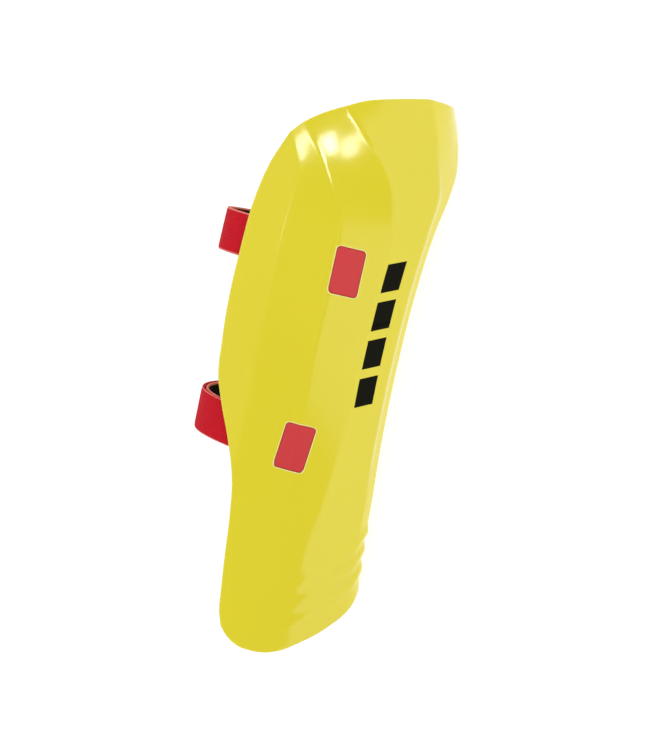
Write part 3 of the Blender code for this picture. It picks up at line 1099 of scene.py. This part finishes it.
class GUARD_OT_stage(bpy.types.Operator):
    """Set the pale floor, the soft lights and the camera"""

    bl_idname = "guard.stage"
    bl_label = "Studio"

    # Name, direction in the world's frame from the guard's middle, distance, width, height, power
    lights = (
        ("Overhead softbox", (0.0, 0.15, 1.0), 1.5, 1.2, 1.2, 3.4),
        ("Ankle end softbox", (-0.86, -0.30, 0.50), 1.5, 0.8, 0.8, 4.2),
        ("Knee end softbox", (0.86, -0.30, 0.50), 1.5, 0.8, 0.8, 4.2),
        ("Rear bulge lamp", (0.037, -0.616, 0.824), 1.44, 0.08, 0.24, 0.90),
        ("Middle bulge lamp", (0.192, -0.900, 0.510), 1.44, 0.14, 0.20, 1.75),
        ("Front bulge lamp", (0.050, -0.916, 0.480), 1.44, 0.14, 0.18, 0.9),
        ("Crease lamp", (0.207, -1.02, 0.133), 1.44, 0.05, 0.05, 0.2),
    )
    floor_reach = 14.0
    dark_toward = (0.0, -0.93, 0.37)
    dark_strength = 0.20
    white_strength = 0.74
    dark_inside, dark_outside = math.radians(28), math.radians(58)

    def execute(self, context):
        self.add_floor()
        self.add_lights(context)
        self.add_camera(context)
        return {"FINISHED"}

    def add_floor(self):
        form = bmesh.new()
        bmesh.ops.create_grid(form, x_segments=4, y_segments=4, size=self.floor_reach)
        floor = place_mesh("studio_floor", form, [floor_material()])

    def add_lights(self, context):
        rest = leg_to_rest()
        middle = rest @ Vector(LIT_MIDDLE)
        for name, toward, distance, width, height, power in self.lights:
            light = bpy.data.lights.new(name, "AREA")
            light.shape = "RECTANGLE"
            light.size = width
            light.size_y = height
            light.energy = power
            lamp = bpy.data.objects.new(name, light)
            back = Vector(toward).normalized()
            across = Vector((0.0, 1.0, 0.0)).cross(back).normalized()
            lamp.matrix_world = placed_axes(across, back.cross(across), back,
                                            middle + back * distance)
            context.scene.collection.objects.link(lamp)
        context.scene.world = self.studio_world()
        context.scene.view_settings.view_transform = "Standard"

    def studio_world(self):
        """White surroundings with a soft dark opening where the camera would stand."""
        world = bpy.data.worlds.new("Studio")
        world.use_nodes = True
        tree = Tree(world.node_tree)
        where = tree.add("ShaderNodeTexCoord").outputs["Generated"]
        middle = Vector(self.dark_toward).normalized()
        toward = tree.add("ShaderNodeVectorMath", {0: where, 1: middle}, operation="DOT_PRODUCT")
        strength = tree.eased(toward.outputs["Value"],
                              (math.cos(self.dark_outside), math.cos(self.dark_inside)),
                              (self.white_strength, self.dark_strength))
        tree.feed(tree.nodes["Background"],
                  {"Color": (1.0, 1.0, 1.0, 1.0), "Strength": strength})
        return world

    def add_camera(self, context):
        view = context.scene.guard_view
        rest = leg_to_rest()
        azimuth, elevation, lean = view.azimuth, view.elevation, view.lean
        back = Vector((-math.sin(azimuth) * math.cos(elevation),
                       -math.cos(azimuth) * math.cos(elevation), math.sin(elevation)))
        level = Vector((math.cos(azimuth), -math.sin(azimuth), 0.0))
        upright = back.cross(level)
        across = math.cos(lean) * level + math.sin(lean) * upright
        up = math.cos(lean) * upright - math.sin(lean) * level
        camera = bpy.data.cameras.new("Camera")
        camera.sensor_fit = "VERTICAL"
        camera.sensor_height = 24.0
        camera.lens = camera.sensor_height * view.distance / view.view_height
        camera.clip_start = 0.05
        item = bpy.data.objects.new("Camera", camera)
        item.matrix_world = rest @ placed_axes(across, up, back,
                                               Vector(VIEW_MIDDLE) + back * view.distance)
        context.scene.collection.objects.link(item)
        context.scene.camera = item


PIECES = (GUARD_OT_shell, GUARD_OT_windows, GUARD_OT_tabs, GUARD_OT_straps, GUARD_OT_marking,
          GUARD_OT_stage)


class GUARD_PT_panel(bpy.types.Panel):
    """Lists the guard's pieces in the sidebar"""

    bl_idname = "GUARD_PT_panel"
    bl_label = "Shin Guard"
    bl_space_type = "VIEW_3D"
    bl_region_type = "UI"
    bl_category = "Shin Guard"

    def draw(self, context):
        for piece in PIECES:
            self.layout.operator(piece.bl_idname)
        for name in ("length", "calf_width", "calf_depth", "wall", "strap_width"):
            self.layout.prop(context.scene.guard_sizes, name)
        for name in ("shell", "webbing", "tab", "marking"):
            self.layout.prop(context.scene.guard_colours, name)


CLASSES = (GuardSizes, GuardColours, GuardView) + PIECES + (GUARD_PT_panel,)


def register():
    for item in CLASSES:
        bpy.utils.register_class(item)
    bpy.types.Scene.guard_sizes = PointerProperty(type=GuardSizes)
    bpy.types.Scene.guard_colours = PointerProperty(type=GuardColours)
    bpy.types.Scene.guard_view = PointerProperty(type=GuardView)


def unregister():
    del bpy.types.Scene.guard_view
    del bpy.types.Scene.guard_colours
    del bpy.types.Scene.guard_sizes
    for item in reversed(CLASSES):
        bpy.utils.unregister_class(item)


def main():
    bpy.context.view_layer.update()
    register()
    bpy.ops.guard.shell()
    bpy.ops.guard.windows()
    bpy.ops.guard.tabs()
    bpy.ops.guard.straps()
    bpy.ops.guard.marking()
    bpy.ops.guard.stage()


if __name__ == "__main__":
    main()
